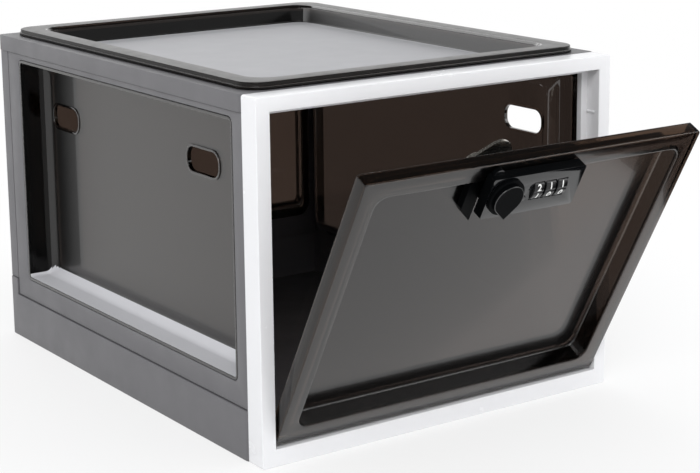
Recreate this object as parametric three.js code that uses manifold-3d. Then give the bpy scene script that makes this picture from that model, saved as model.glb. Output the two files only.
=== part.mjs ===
// Medication lock box: a desk-top box with smoked sides and lid, a white front frame and a
// drop-down smoked door that carries a three-dial combination lock with a turn knob.
// Millimetres. X is to the right, Y to the back, Z up. The origin is the middle of the underside.
import * as THREE from 'three';
import { mergeVertices } from 'three/addons/utils/BufferGeometryUtils.js';
import Module from 'manifold-3d';

const wasm = await Module();
wasm.setup();

// Box body
const boxWidth = 250;
const boxDepth = 320;
const boxHeight = 205;
const seatGap = 0.3;            // air between two pieces that are seated on each other
const bodyCorner = 3;           // radius of the upright corners of tray and top frame
const arcSteps = 5;             // straight runs in each rounded corner
const sharpCorner = 0.5;        // least radius of a rounded corner
const cutOver = 1;              // how far a cutting body runs past the face that it cuts
const joinDepth = 0.5;          // how far two joined bodies reach into each other

// White front frame: a face strip round the door, a rebate for it and a stop lip behind
const frameDepth = 14.5;
const frameCorner = 1.5;
const faceSide = 8.8;
const faceTop = 8.4;
const faceBottom = 10;
const rebateDepth = 10.4;
const lipSide = 4.6;
const lipTop = 3;
const lipBottom = 3.6;
const tabWidth = 30;
const tabReach = 10;
const tabThickness = 2.4;
const tabSpread = 90;
const bumperDrop = 25.6;        // from the top of the door opening
const bumperLength = 7;
const bumperRise = 0.6;
const bumperThickness = 1.4;

// Base tray
const trayHeight = 29.2;
const trayWall = 2.5;
const trayFloor = 3.2;
const trayFrontWall = 9;
const trayRearRise = 40.3;
const underPocket = 1.2;
const underRim = 30;
const underRib = 12;
const padRadius = 8;
const padThickness = 1.5;
const padInset = 18;

// Grey wall frames round the smoked panels
const wallInset = 1;            // the walls stand this far inside tray and top frame
const wallThickness = 4;
const tongueThickness = 2;
const tongueReach = 7;
const frontPost = 11.2;
const rearPost = 15.7;
const rearCornerDepth = 11;
const sideFootRail = 13.5;
const sideHeadRail = 3.4;
const windowCorner = 4;
const backPost = 16;
const backFootRail = 15.4;
const backHeadRail = 12.7;

// Smoked dish panels in the walls
const panelSkin = 2.2;
const panelLip = 1.8;
const lipSink = 0.1;
const panelFlange = 6;
const sideRecess = 20;
const backRecess = 12;
const dishBevel = 5;
const dishCorner = 6;
const slotLength = 35;
const slotHeight = 14.5;
const slotCorner = 6.2;
const slotBead = 1.6;
const beadRise = 0.7;
const slotFromLongEnd = 63.7;   // slot middles, from the ends of the window
const slotFromShortEnd = 28.4;
const slotDropLeft = 37.3;      // slot middles, from the top of the window
const slotDropRight = 30.8;

// Top frame and the smoked lid tray in it
const topFrameHeight = 10;
const topPlate = 2.7;
const topSkirt = 2.7;
const lidInset = 7.5;
const lidFrontInset = 3;
const lidBackInset = 6;
const lidStep = 0.8;
const lidLowerStep = 1.9;
const lidUpperStep = 2.1;
const lidCorner = 14;
const lidRim = 15;
const lidRecess = 12.5;
const lidEdgeChamfer = 2;
const lidFloorCorner = 12;
const lidDraft = 1;
const lidSkin = 2.2;

// Door: a smoked dish with a turned edge, hinged along its bottom
const doorAjar = 28.5;          // degrees that the door stands open at rest
const doorSideGap = 1;
const doorTopGap = 1.2;
const doorBottomGap = 3;
const doorEdge = 8.8;
const doorCorner = 1.5;
const doorSkin = 2.4;
const doorRimSide = 10.6;
const doorRimBottom = 9.6;
const doorRimTop = 10.6;
const doorRecess = 11;
const doorDraft = 1;
const doorFloorSkin = 2.2;
const doorRecessCorner = 8;
const hingeInset = 3.5;         // hinge axis, from the door's bottom edge and from its front face
const pinRadius = 1.5;
const pinInFrame = 5.8;
const pinInDoor = 7.6;
const pinBore = 1.8;
const hingeBlock = 12;

// Combination lock: X is measured from the door's left edge, a drop from its top edge
const lockLeft = 78.8;
const lockRight = 142;
const lockTopDrop = 4.9;
const lockHeight = 26.2;
const plateThickness = 6.2;
const lockCorner = 1.2;
const pedestalLeft = 85.8;
const pedestalTopDrop = 12.1;
const pedestalHeight = 15.8;
const lugRadius = 3.6;
const lugX = 84.4;
const lugDrop = 0.6;
const lugRise = 2.7;
const knobX = 90;
const knobDrop = 16.9;
const knobTurn = 5;             // degrees that the pointer leans from straight down, anticlockwise
const knobDiscRadius = 11.2;
const knobDiscThickness = 2;
const pointerRadius = 9.2;
const pointerReach = 13;
const pointerTip = 1.2;
const pointerThickness = 2.2;
const spindleRadius = 2.6;
const spindleBore = 2.9;
const spindleInKnob = 2.6;
const dialCount = 3;
const dialPitch = 8.1;
const dialWidth = 6.7;
const dialRadius = 9;
const dialNotch = 0.4;
const dialFigures = 10;
const dialLand = 0.36;          // half of each figure's flat, as a share of its step round the dial
const dialMiddleX = 120.1;
const dialDrop = 17.2;
const dialProud = 1.9;
const axleRadius = 1.2;
const axleBore = 1.5;
const axleLeft = 106.2;
const coverLeft = 78.2;
const coverTopDrop = 11.8;
const coverHeight = 26;
const coverThickness = 6.6;
const coverWall = 1.2;
const detentThickness = 0.4;
const detentWidth = 9;
const detentRoom = 0.9;
const pullLeft = 76.8;
const pullRight = 85.4;
const pullTopDrop = 17.3;
const pullHeight = 26.3;
const pullRise = 4.2;
const pullCutAcross = 6.6;
const pullCutUp = 7.6;
const pullFootRise = 2;
const pullScrewX = 82;
const pullScrewDrop = 28.6;
const screwRadius = 1;
const screwHeadRadius = 1.9;
const screwHeadThickness = 1.3;
const screwBite = 4;
const pullScrewBite = 2.4;
const screwRightX = 138.2;
const screwRightDrop = 22.4;
const screwLeftX = 100.5;
const screwLeftDrop = 24.9;
const buttonX = 103.6;
const buttonDrop = 20.8;
const buttonRadius = 1.5;
const buttonFlangeRadius = 2.1;
const buttonFlange = 0.8;
const buttonProud = 0.8;
const buttonRoof = 3.5;
const camThickness = 1.6;
const camHub = 6.5;
const camTip = 10;
const camReach = 23;
const camRest = 16;             // degrees anticlockwise from the door's X axis, unlocked
const nutRadius = 5.2;
const nutThickness = 2.2;
const nutSides = 6;
const spindleTail = 0.5;
const roundSteps = 32;
const smallSteps = 20;

// Places worked out from the sizes above
const frontY = -boxDepth / 2;
const backY = boxDepth / 2;
const bodyFrontY = frontY + frameDepth + seatGap;
const openingHalf = boxWidth / 2 - faceSide;
const openingTop = boxHeight - faceTop;
const wallFoot = trayHeight + seatGap;
const topFrameFoot = boxHeight - topFrameHeight;
const wallHead = topFrameFoot - seatGap;
const sideRearY = backY - rearCornerDepth - seatGap;
const windowFrontY = bodyFrontY + frontPost;
const windowRearY = sideRearY - rearPost;
const windowFoot = wallFoot + sideFootRail;
const windowHead = wallHead - sideHeadRail;
const doorWidth = 2 * (openingHalf - doorSideGap);
const doorFoot = faceBottom + doorBottomGap;
const doorHeight = openingTop - doorTopGap - doorFoot;
const lockTop = doorHeight - lockTopDrop;
const lockBottom = lockTop - lockHeight;
const pedestalTop = doorHeight - pedestalTopDrop;
const coverTop = doorHeight - coverTopDrop;
const knobY = doorHeight - knobDrop;
const dialY = doorHeight - dialDrop;
const pullTop = doorHeight - pullTopDrop;
const pullBottom = pullTop - pullHeight;
const buttonY = doorHeight - buttonDrop;
const lockScrews = [
  [screwRightX, doorHeight - screwRightDrop],
  [screwLeftX, doorHeight - screwLeftDrop],
];
const pullScrewPlace = [pullScrewX, doorHeight - pullScrewDrop];
const recessFloor = -doorRecess;
const panelBack = recessFloor - doorFloorSkin;
const lockBack = recessFloor + seatGap;
const plateBack = seatGap;
const lockFace = plateBack + plateThickness;
const dialAxis = lockFace + dialProud - dialRadius;
const bayLeft = dialMiddleX - dialPitch * dialCount / 2;
const bayRight = dialMiddleX + dialPitch * dialCount / 2;
const buttonStop = lockFace - buttonRoof;
const coverFront = panelBack - seatGap;
const coverBack = coverFront - coverThickness;
const camFront = coverBack - seatGap;
const camBack = camFront - camThickness;
const knobBack = lockFace + seatGap;

// Materials
function plain(color, roughness, metalness = 0) {
  return new THREE.MeshStandardMaterial({ color, roughness, metalness });
}

function smoked(opacity) {
  const look = plain(0x3a3a3a, 0.08);
  look.transparent = true;
  look.opacity = opacity;
  return look;
}

const whiteShell = plain(0xf0f0f2, 0.3);
const greyShell = plain(0x78777a, 0.55);
const smokedPanel = smoked(0.6);
const blackLock = plain(0x101113, 0.3);
const steel = plain(0xc4c2bc, 0.3, 0.9);
const rubber = plain(0x1c1c1e, 0.9);

// Turns a closed three.js geometry into a solid that can be joined and cut
function solid(geometry) {
  geometry.deleteAttribute('normal');
  geometry.deleteAttribute('uv');
  const merged = mergeVertices(geometry);
  const vertProperties = new Float32Array(merged.attributes.position.array);
  const triVerts = new Uint32Array(merged.index.array);
  return new wasm.Manifold(new wasm.Mesh({ numProp: 3, vertProperties, triVerts }));
}

// Turns a solid back into a geometry
function surface(body) {
  const mesh = body.getMesh();
  const geometry = new THREE.BufferGeometry();
  geometry.setAttribute('position', new THREE.BufferAttribute(mesh.vertProperties, 3));
  geometry.setIndex(new THREE.BufferAttribute(mesh.triVerts, 1));
  return geometry;
}

// Two values, the lower one first
function ordered(a, b) {
  return [Math.min(a, b), Math.max(a, b)];
}

// A box between two values on each axis
function block(x0, x1, y0, y1, z0, z1) {
  const geometry = new THREE.BoxGeometry(x1 - x0, y1 - y0, z1 - z0);
  geometry.translate((x0 + x1) / 2, (y0 + y1) / 2, (z0 + z1) / 2);
  return solid(geometry);
}

// Outline of a rectangle whose corners are arcs
function roundedRect(x0, x1, y0, y1, radius) {
  const corners = [
    [x1 - radius, y0 + radius],
    [x1 - radius, y1 - radius],
    [x0 + radius, y1 - radius],
    [x0 + radius, y0 + radius],
  ];
  const outline = [];
  corners.forEach(([x, y], corner) => {
    for (let step = 0; step <= arcSteps; step += 1) {
      const angle = (corner - 1 + step / arcSteps) * Math.PI / 2;
      outline.push(new THREE.Vector2(x + radius * Math.cos(angle), y + radius * Math.sin(angle)));
    }
  });
  return outline;
}

// The same outline drawn in by an inset on every side
function inset({ x0, x1, y0, y1, radius }, amount) {
  const corner = Math.max(radius - amount, sharpCorner);
  return roundedRect(x0 + amount, x1 - amount, y0 + amount, y1 - amount, corner);
}

// An outline carried straight along Z
function prism(outline, z0, z1) {
  const shape = new THREE.Shape(outline);
  const geometry = new THREE.ExtrudeGeometry(shape, { depth: z1 - z0, bevelEnabled: false });
  geometry.translate(0, 0, z0);
  return solid(geometry);
}

// A skin through outlines of equal count, each at its own height, closed at both ends
function loft(levels) {
  const count = levels[0].outline.length;
  const positions = levels.flatMap(({ outline, z }) => outline.flatMap(({ x, y }) => [x, y, z]));
  const index = [];
  for (let level = 0; level < levels.length - 1; level += 1) {
    for (let i = 0; i < count; i += 1) {
      const a = level * count + i;
      const b = level * count + (i + 1) % count;
      index.push(a, b, b + count, a, b + count, a + count);
    }
  }
  const top = (levels.length - 1) * count;
  for (const [a, b, c] of THREE.ShapeUtils.triangulateShape(levels[0].outline, [])) {
    index.push(a, c, b);
    index.push(top + a, top + b, top + c);
  }
  const geometry = new THREE.BufferGeometry();
  geometry.setAttribute('position', new THREE.Float32BufferAttribute(positions, 3));
  geometry.setIndex(index);
  return solid(geometry);
}

// A round bar along Z
function rod(x, y, radius, z0, z1, steps = smallSteps) {
  const geometry = new THREE.CylinderGeometry(radius, radius, z1 - z0, steps);
  geometry.rotateX(Math.PI / 2);
  geometry.translate(x, y, (z0 + z1) / 2);
  return solid(geometry);
}

// A round bar along X
function crossRod(y, z, radius, x0, x1, steps = smallSteps) {
  const geometry = new THREE.CylinderGeometry(radius, radius, x1 - x0, steps);
  geometry.rotateZ(Math.PI / 2);
  geometry.translate((x0 + x1) / 2, y, z);
  return solid(geometry);
}

function piece(name, body, material) {
  const mesh = new THREE.Mesh(surface(body), material);
  mesh.name = name;
  return mesh;
}

// A group whose Z points out of an upright wall, with X along the wall and Y up. The turn is
// counted anticlockwise from the front, seen from above.
function uprightWall(turn, distance) {
  const upright = new THREE.Group();
  upright.rotation.x = Math.PI / 2;
  upright.position.y = -distance;
  const wall = new THREE.Group();
  wall.rotation.z = turn;
  wall.add(upright);
  return { wall, upright };
}

// Front frame, moulded in one piece. Drawn face on: Z is 0 at the front and runs out of it.
function frontFrame() {
  const half = boxWidth / 2;
  let body = prism(roundedRect(-half, half, 0, boxHeight, frameCorner), -frameDepth, 0);
  body = body.subtract(block(-openingHalf, openingHalf, faceBottom, openingTop, -rebateDepth, cutOver));
  const lipHalf = openingHalf - lipSide;
  const lipFoot = faceBottom + lipBottom;
  const lipHead = openingTop - lipTop;
  body = body.subtract(block(-lipHalf, lipHalf, lipFoot, lipHead, -frameDepth - cutOver, cutOver));
  const tabTop = boxHeight - topPlate - seatGap;
  const tabFoot = trayFrontWall + seatGap;
  for (const side of [-1, 1]) {
    const left = side * tabSpread - tabWidth / 2;
    const right = left + tabWidth;
    const rear = -frameDepth - tabReach;
    const root = -frameDepth + joinDepth;
    body = body.add(block(left, right, tabTop - tabThickness, tabTop, rear, root));
    body = body.add(block(left, right, tabFoot, tabFoot + tabThickness, rear, root));
    const wallX = side * openingHalf;
    const [bumperLow, bumperHigh] = ordered(wallX + side * joinDepth, wallX - side * bumperRise);
    const bumperHead = openingTop - bumperDrop;
    const bumperFoot = bumperHead - bumperThickness;
    const bumperFront = bumperLength - rebateDepth;
    body = body.add(block(bumperLow, bumperHigh, bumperFoot, bumperHead, -rebateDepth, bumperFront));
    const [boreLow, boreHigh] = ordered(wallX - side * cutOver, wallX + side * (pinInFrame + seatGap));
    body = body.subtract(crossRod(doorFoot + hingeInset, -hingeInset, pinBore, boreLow, boreHigh));
  }
  return body;
}

// Base tray: floor, low walls, a raised wall at the back, pockets underneath for the pads
function padPlaces() {
  const x = boxWidth / 2 - padInset;
  return [
    [-x, bodyFrontY + padInset],
    [x, bodyFrontY + padInset],
    [-x, backY - padInset],
    [x, backY - padInset],
  ];
}

function baseTray() {
  const half = boxWidth / 2;
  const outline = { x0: -half, x1: half, y0: bodyFrontY, y1: backY, radius: bodyCorner };
  let body = prism(inset(outline, 0), 0, trayRearRise);
  const over = trayRearRise + cutOver;
  body = body.subtract(prism(inset(outline, trayWall), trayFloor, over));
  const riseY = sideRearY + seatGap;
  const past = half + cutOver;
  const ahead = bodyFrontY - cutOver;
  body = body.subtract(block(-past, past, ahead, riseY, trayHeight, over));
  const frontCut = bodyFrontY + trayWall + cutOver;
  const sideCut = half - wallInset - wallThickness;
  body = body.subtract(block(-sideCut, sideCut, ahead, frontCut, trayFrontWall, over));
  const pocketX = half - underRim;
  for (const side of [-1, 1]) {
    const x0 = side < 0 ? -pocketX : underRib / 2;
    const x1 = side < 0 ? -underRib / 2 : pocketX;
    body = body.subtract(block(x0, x1, bodyFrontY + underRim, -underRib / 2, -cutOver, underPocket));
    body = body.subtract(block(x0, x1, underRib / 2, backY - underRim, -cutOver, underPocket));
  }
  for (const [x, y] of padPlaces()) {
    body = body.subtract(rod(x, y, padRadius + seatGap, -cutOver, padThickness + seatGap, roundSteps));
  }
  return body;
}

// Side frame, drawn face on from outside: X runs along Y times the side's sign
function sideFrame(side) {
  const face = -wallInset;
  const inner = face - wallThickness;
  const [x0, x1] = ordered(side * bodyFrontY, side * sideRearY);
  let body = block(x0, x1, wallFoot, wallHead, inner, face);
  const ends = seatGap + topSkirt;
  const tongueFoot = wallFoot - tongueReach;
  const tongueHead = wallHead + tongueReach - seatGap;
  body = body.add(block(x0 + ends, x1 - ends, tongueFoot, tongueHead, inner, inner + tongueThickness));
  return body.subtract(prism(inset(sideWindow(side), 0), inner - cutOver, face + cutOver));
}

function sideWindow(side) {
  const [x0, x1] = ordered(side * windowFrontY, side * windowRearY);
  return { x0, x1, y0: windowFoot, y1: windowHead, radius: windowCorner };
}

// Back frame with a return at each side that closes the rear corners
function backFrame() {
  const half = boxWidth / 2 - wallInset;
  const face = -wallInset;
  const inner = face - wallThickness;
  const foot = trayRearRise + seatGap;
  let body = block(-half, half, foot, wallHead, inner, face);
  const returnEnd = -rearCornerDepth;
  for (const side of [-1, 1]) {
    const x0 = side < 0 ? -half : half - wallThickness;
    body = body.add(block(x0, x0 + wallThickness, foot, wallHead, returnEnd, inner + joinDepth));
  }
  const tongueHalf = half - wallThickness - seatGap;
  const tongueHead = wallHead + tongueReach - seatGap;
  const tongueFoot = foot - tongueReach;
  const tongueFace = inner + tongueThickness;
  body = body.add(block(-tongueHalf, tongueHalf, tongueFoot, tongueHead, inner, tongueFace));
  return body.subtract(prism(inset(backWindow(), 0), inner - cutOver, face + cutOver));
}

function backWindow() {
  const half = boxWidth / 2 - backPost;
  const foot = trayRearRise + seatGap + backFootRail;
  return { x0: -half, x1: half, y0: foot, y1: wallHead - backHeadRail, radius: windowCorner };
}

// Smoked dish: a flange behind the wall frame, a lip through its window and a bevelled floor
function dishPanel(window, recess, slots) {
  const lip = inset(window, seatGap);
  const reveal = seatGap + panelLip;
  const floorEdge = reveal + dishBevel;
  const bottom = { ...window, radius: dishCorner + floorEdge };
  const lipFace = -wallInset - lipSink;
  const flangeFront = -wallInset - wallThickness - seatGap;
  const flangeBack = flangeFront - panelSkin;
  let body = loft([
    { outline: inset(bottom, seatGap + dishBevel), z: -recess - panelSkin },
    { outline: lip, z: -recess + dishBevel - panelSkin },
    { outline: lip, z: lipFace },
  ]);
  body = body.add(prism(inset(window, -panelFlange), flangeBack, flangeFront));
  body = body.subtract(loft([
    { outline: inset(bottom, floorEdge), z: -recess },
    { outline: inset(window, reveal), z: -recess + dishBevel },
    { outline: inset(window, reveal), z: cutOver },
  ]));
  for (const [x, y] of slots) {
    const slot = {
      x0: x - slotLength / 2,
      x1: x + slotLength / 2,
      y0: y - slotHeight / 2,
      y1: y + slotHeight / 2,
      radius: slotCorner,
    };
    body = body.add(prism(inset(slot, -slotBead), -recess - joinDepth, -recess + beadRise));
    body = body.subtract(prism(inset(slot, 0), -recess - panelSkin - cutOver, cutOver));
  }
  return body;
}

// Both side panels are one moulding, so each has the same slots from its own left to its right
function sidePanel(side) {
  const window = sideWindow(side);
  const level = windowHead - (side < 0 ? slotDropLeft : slotDropRight);
  const slots = [[window.x0 + slotFromShortEnd, level], [window.x1 - slotFromLongEnd, level]];
  return dishPanel(window, sideRecess, slots);
}

// Lid outline at the top of the body, and the opening that the dish passes through
function lidOutline() {
  return {
    x0: -boxWidth / 2 + lidInset,
    x1: boxWidth / 2 - lidInset,
    y0: bodyFrontY + lidFrontInset,
    y1: backY - lidBackInset,
    radius: lidCorner,
  };
}

function topFrame() {
  const half = boxWidth / 2;
  const outer = { x0: -half, x1: half, y0: bodyFrontY, y1: backY, radius: bodyCorner };
  let body = prism(inset(outer, 0), topFrameFoot, boxHeight);
  const under = boxHeight - topPlate;
  const skirtInner = half - topSkirt;
  const ahead = bodyFrontY - cutOver;
  const below = topFrameFoot - cutOver;
  body = body.subtract(block(-skirtInner, skirtInner, ahead, backY - topSkirt, below, under));
  const hole = inset(lidOutline(), lidRim - lidSkin - 2 * seatGap);
  return body.subtract(prism(hole, under - cutOver, boxHeight + cutOver));
}

function topLid() {
  const rim = lidOutline();
  const foot = boxHeight + seatGap;
  const step = foot + lidLowerStep;
  const head = step + lidUpperStep;
  const floor = head - lidRecess;
  let body = prism(inset(rim, 0), foot, step);
  body = body.add(prism(inset(rim, lidStep), step - joinDepth, head));
  const recess = { ...rim, radius: lidRim + lidFloorCorner };
  body = body.add(loft([
    { outline: inset(recess, lidRim - lidSkin + lidDraft), z: floor - lidSkin },
    { outline: inset(recess, lidRim - lidSkin), z: foot + joinDepth },
  ]));
  return body.subtract(loft([
    { outline: inset(recess, lidRim + lidDraft), z: floor },
    { outline: inset(recess, lidRim), z: head - lidEdgeChamfer },
    { outline: inset(recess, lidRim - lidEdgeChamfer), z: head },
    { outline: inset(recess, lidRim - lidEdgeChamfer), z: head + cutOver },
  ]));
}

// Door panel. X and Y run from its lower left corner, Z is 0 at its front face.
function doorPanel() {
  const edge = { x0: 0, x1: doorWidth, y0: 0, y1: doorHeight, radius: doorCorner };
  const dish = {
    x0: doorRimSide,
    x1: doorWidth - doorRimSide,
    y0: doorRimBottom,
    y1: doorHeight - doorRimTop,
    radius: doorRecessCorner,
  };
  const shell = loft([
    { outline: inset(dish, doorDraft - doorFloorSkin), z: panelBack },
    { outline: inset(dish, -doorFloorSkin), z: -doorSkin / 2 },
  ]);
  const behind = -doorEdge - cutOver;
  let groove = prism(inset(edge, doorSkin), behind, -doorSkin);
  groove = groove.subtract(prism(inset(dish, -doorFloorSkin), behind - cutOver, 0));
  for (const x0 of [0, doorWidth - hingeBlock]) {
    groove = groove.subtract(block(x0, x0 + hingeBlock, 0, hingeBlock, behind - cutOver, 0));
  }
  let body = prism(inset(edge, 0), -doorEdge, 0);
  body = body.subtract(groove);
  body = body.add(shell);
  body = body.subtract(loft([
    { outline: inset(dish, doorDraft), z: recessFloor },
    { outline: inset(dish, 0), z: 0 },
    { outline: inset(dish, 0), z: cutOver },
  ]));
  const through = [panelBack - cutOver, recessFloor + cutOver];
  body = body.subtract(dialRoom());
  body = body.subtract(rod(knobX, knobY, spindleBore + seatGap, ...through));
  for (const [x, y] of [...lockScrews, pullScrewPlace]) {
    body = body.subtract(rod(x, y, screwRadius + seatGap, ...through));
  }
  const boreDepth = pinInDoor + seatGap;
  body = body.subtract(crossRod(hingeInset, -hingeInset, pinBore, -cutOver, boreDepth));
  const farBore = doorWidth - boreDepth;
  body = body.subtract(crossRod(hingeInset, -hingeInset, pinBore, farBore, doorWidth + cutOver));
  return body;
}

// Middle of each dial along the lock
function dialPlaces() {
  const first = dialMiddleX - (dialCount - 1) / 2 * dialPitch;
  return Array.from({ length: dialCount }, (_, i) => first + i * dialPitch);
}

// Room for the dials in the top wall of the door's recess, behind the lock's plate
function dialRoom() {
  const reach = dialRadius + 2 * seatGap;
  return block(bayLeft, bayRight, dialY, dialY + reach, dialAxis - reach, cutOver);
}

// Front housing of the lock: a plate over the door's rim, and a pedestal that stands in the recess
function lockBody() {
  const outline = roundedRect(lockLeft, lockRight, lockBottom, lockTop, lockCorner);
  let body = prism(outline, plateBack, lockFace);
  body = body.add(rod(lugX, lockTop - lugDrop, lugRadius, plateBack, plateBack + lugRise));
  const pedestalFoot = pedestalTop - pedestalHeight;
  const joined = plateBack + joinDepth;
  body = body.add(block(pedestalLeft, lockRight, pedestalFoot, pedestalTop, lockBack, joined));
  const slotRadius = dialRadius + seatGap;
  for (const x of dialPlaces()) {
    const half = dialWidth / 2 + seatGap;
    body = body.subtract(crossRod(dialY, dialAxis, slotRadius, x - half, x + half, roundSteps));
  }
  body = body.subtract(crossRod(dialY, dialAxis, axleBore, axleLeft, lockRight + cutOver));
  const through = [lockBack - cutOver, lockFace + cutOver];
  const roomHalf = detentWidth / 2 + seatGap;
  const roomTop = lockBack + detentRoom;
  body = body.subtract(
    block(bayLeft, bayRight, dialY - roomHalf, dialY + roomHalf, through[0], roomTop),
  );
  body = body.subtract(rod(knobX, knobY, spindleBore, ...through));
  body = body.subtract(rod(buttonX, buttonY, buttonRadius + seatGap, ...through));
  const chamberRadius = buttonFlangeRadius + seatGap;
  body = body.subtract(rod(buttonX, buttonY, chamberRadius, through[0], buttonStop));
  const biteEnd = lockBack + screwBite + seatGap;
  for (const [x, y] of lockScrews) {
    body = body.subtract(rod(x, y, screwRadius + seatGap, through[0], biteEnd));
  }
  return body;
}

// Rear cover inside the door, hollow round its bosses, with the screw heads sunk flush
function lockCover() {
  const outline = {
    x0: coverLeft,
    x1: lockRight,
    y0: coverTop - coverHeight,
    y1: coverTop,
    radius: lockCorner,
  };
  let body = prism(inset(outline, 0), coverBack, coverFront);
  const through = [coverBack - cutOver, coverFront + cutOver];
  const screws = [...lockScrews, pullScrewPlace];
  let hollow = prism(inset(outline, coverWall), coverBack + coverWall, through[1]);
  hollow = hollow.subtract(rod(knobX, knobY, spindleBore + coverWall, ...through));
  for (const [x, y] of screws) {
    const boss = screwHeadRadius + seatGap + coverWall;
    hollow = hollow.subtract(rod(x, y, boss, ...through));
  }
  body = body.subtract(hollow);
  body = body.subtract(rod(knobX, knobY, spindleBore, ...through));
  const sink = coverBack + screwHeadThickness + seatGap;
  for (const [x, y] of screws) {
    body = body.subtract(rod(x, y, screwRadius + seatGap, ...through));
    body = body.subtract(rod(x, y, screwHeadRadius + seatGap, through[0], sink));
  }
  return body;
}

// Pull tab beside the lock: its lower left corner is cut away
function fingerPull() {
  const outline = [
    [pullLeft, pullTop],
    [pullLeft, pullBottom + pullFootRise + pullCutUp],
    [pullLeft + pullCutAcross, pullBottom + pullFootRise],
    [pullRight, pullBottom],
    [pullRight, pullTop],
  ].map(([x, y]) => new THREE.Vector2(x, y));
  const body = prism(outline, lockBack, lockBack + pullRise);
  const biteEnd = lockBack + pullScrewBite + seatGap;
  const [x, y] = pullScrewPlace;
  return body.subtract(rod(x, y, screwRadius + seatGap, lockBack - cutOver, biteEnd));
}

function screw(x, y, bite) {
  const headFront = coverBack + screwHeadThickness;
  const body = rod(x, y, screwHeadRadius, coverBack, headFront);
  return body.add(rod(x, y, screwRadius, headFront - joinDepth, lockBack + bite));
}

// Turn knob, about its own axis: a disc under a drop-shaped pointer, whose tip is straight down
function knob() {
  const discTop = knobBack + knobDiscThickness;
  const tipMiddle = pointerReach - pointerTip;
  const wrap = Math.acos((pointerRadius - pointerTip) / tipMiddle);
  const outline = [];
  for (const [radius, middle, start, end] of [
    [pointerRadius, 0, wrap, 2 * Math.PI - wrap],
    [pointerTip, tipMiddle, -wrap, wrap],
  ]) {
    for (let step = 0; step <= smallSteps; step += 1) {
      const angle = start + (end - start) * step / smallSteps;
      outline.push(new THREE.Vector2(
        radius * Math.sin(angle),
        -middle - radius * Math.cos(angle),
      ));
    }
  }
  let body = rod(0, 0, knobDiscRadius, knobBack, discTop, roundSteps);
  body = body.add(prism(outline, discTop - joinDepth, discTop + pointerThickness));
  return body.subtract(rod(0, 0, spindleBore, knobBack - cutOver, knobBack + spindleInKnob + seatGap));
}

// Spindle, latch cam and nut, about the knob's axis
function spindle() {
  const tail = camBack - seatGap - nutThickness - spindleTail;
  return rod(0, 0, spindleRadius, tail, knobBack + spindleInKnob);
}

function latchCam() {
  const tipMiddle = camReach - camTip;
  const wrap = Math.acos((camHub - camTip) / tipMiddle);
  const arm = [[0, camHub, -1], [tipMiddle, camTip, -1], [tipMiddle, camTip, 1], [0, camHub, 1]];
  const outline = arm.map(([x, radius, side]) => new THREE.Vector2(
    x + radius * Math.cos(wrap),
    side * radius * Math.sin(wrap),
  ));
  let body = rod(0, 0, camHub, camBack, camFront, roundSteps);
  body = body.add(rod(tipMiddle, 0, camTip, camBack, camFront, roundSteps));
  body = body.add(prism(outline, camBack, camFront));
  return body.subtract(rod(0, 0, spindleBore, camBack - cutOver, camFront + cutOver));
}

function camNut() {
  const face = camBack - seatGap;
  const rear = face - nutThickness;
  const body = rod(0, 0, nutRadius, rear, face, nutSides);
  return body.subtract(rod(0, 0, spindleBore, rear - cutOver, face + cutOver));
}

// One number dial about its own axis, which lies along Z here: ten lands with a notch between.
// A notch faces the front, so that each window shows two figures.
function dial() {
  const outline = [];
  for (let figure = 0; figure < dialFigures; figure += 1) {
    for (const [share, radius] of [
      [-dialLand, dialRadius],
      [0, dialRadius],
      [dialLand, dialRadius],
      [0.5, dialRadius - dialNotch],
    ]) {
      const angle = (figure + 0.5 + share) / dialFigures * 2 * Math.PI;
      outline.push(new THREE.Vector2(radius * Math.cos(angle), radius * Math.sin(angle)));
    }
  }
  const half = dialWidth / 2;
  return prism(outline, -half, half).subtract(rod(0, 0, axleBore, -half - cutOver, half + cutOver));
}

function resetButton() {
  const foot = buttonStop - seatGap;
  const body = rod(0, 0, buttonRadius, foot - joinDepth, lockFace + buttonProud);
  return body.add(rod(0, 0, buttonFlangeRadius, foot - buttonFlange, foot));
}

// Leaf spring that rests behind the dials and clicks them into place
function detentSpring() {
  return block(
    bayLeft + seatGap,
    bayRight - seatGap,
    dialY - detentWidth / 2,
    dialY + detentWidth / 2,
    lockBack,
    lockBack + detentThickness,
  );
}

// Assembly: the fixed box
const lockBox = new THREE.Group();
lockBox.add(piece('base_tray', baseTray(), greyShell));
padPlaces().forEach(([x, y], i) => {
  const pad = piece(`foot_pad_${i + 1}`, rod(0, 0, padRadius, 0, padThickness, roundSteps), rubber);
  pad.position.set(x, y, 0);
  lockBox.add(pad);
});
lockBox.add(piece('top_frame', topFrame(), greyShell));
lockBox.add(piece('top_lid', topLid(), smokedPanel));

const front = uprightWall(0, boxDepth / 2);
front.upright.add(piece('front_frame', frontFrame(), whiteShell));
lockBox.add(front.wall);

for (const [label, side] of [['left', -1], ['right', 1]]) {
  const { wall, upright } = uprightWall(side * Math.PI / 2, boxWidth / 2);
  upright.add(piece(`side_frame_${label}`, sideFrame(side), greyShell));
  upright.add(piece(`side_panel_${label}`, sidePanel(side), smokedPanel));
  lockBox.add(wall);
}

const back = uprightWall(Math.PI, boxDepth / 2);
back.upright.add(piece('back_frame', backFrame(), greyShell));
back.upright.add(piece('back_panel', dishPanel(backWindow(), backRecess, []), smokedPanel));
lockBox.add(back.wall);

// The hinge pins stay in the front frame
const hinge = new THREE.Group();
hinge.position.set(0, frontY + hingeInset, doorFoot + hingeInset);
for (const [label, side] of [['left', -1], ['right', 1]]) {
  const frameEnd = side * (openingHalf + pinInFrame);
  const doorEnd = side * (doorWidth / 2 - pinInDoor);
  const pin = crossRod(0, 0, pinRadius, Math.min(frameEnd, doorEnd), Math.max(frameEnd, doorEnd));
  hinge.add(piece(`hinge_pin_${label}`, pin, steel));
}
lockBox.add(hinge);

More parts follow.
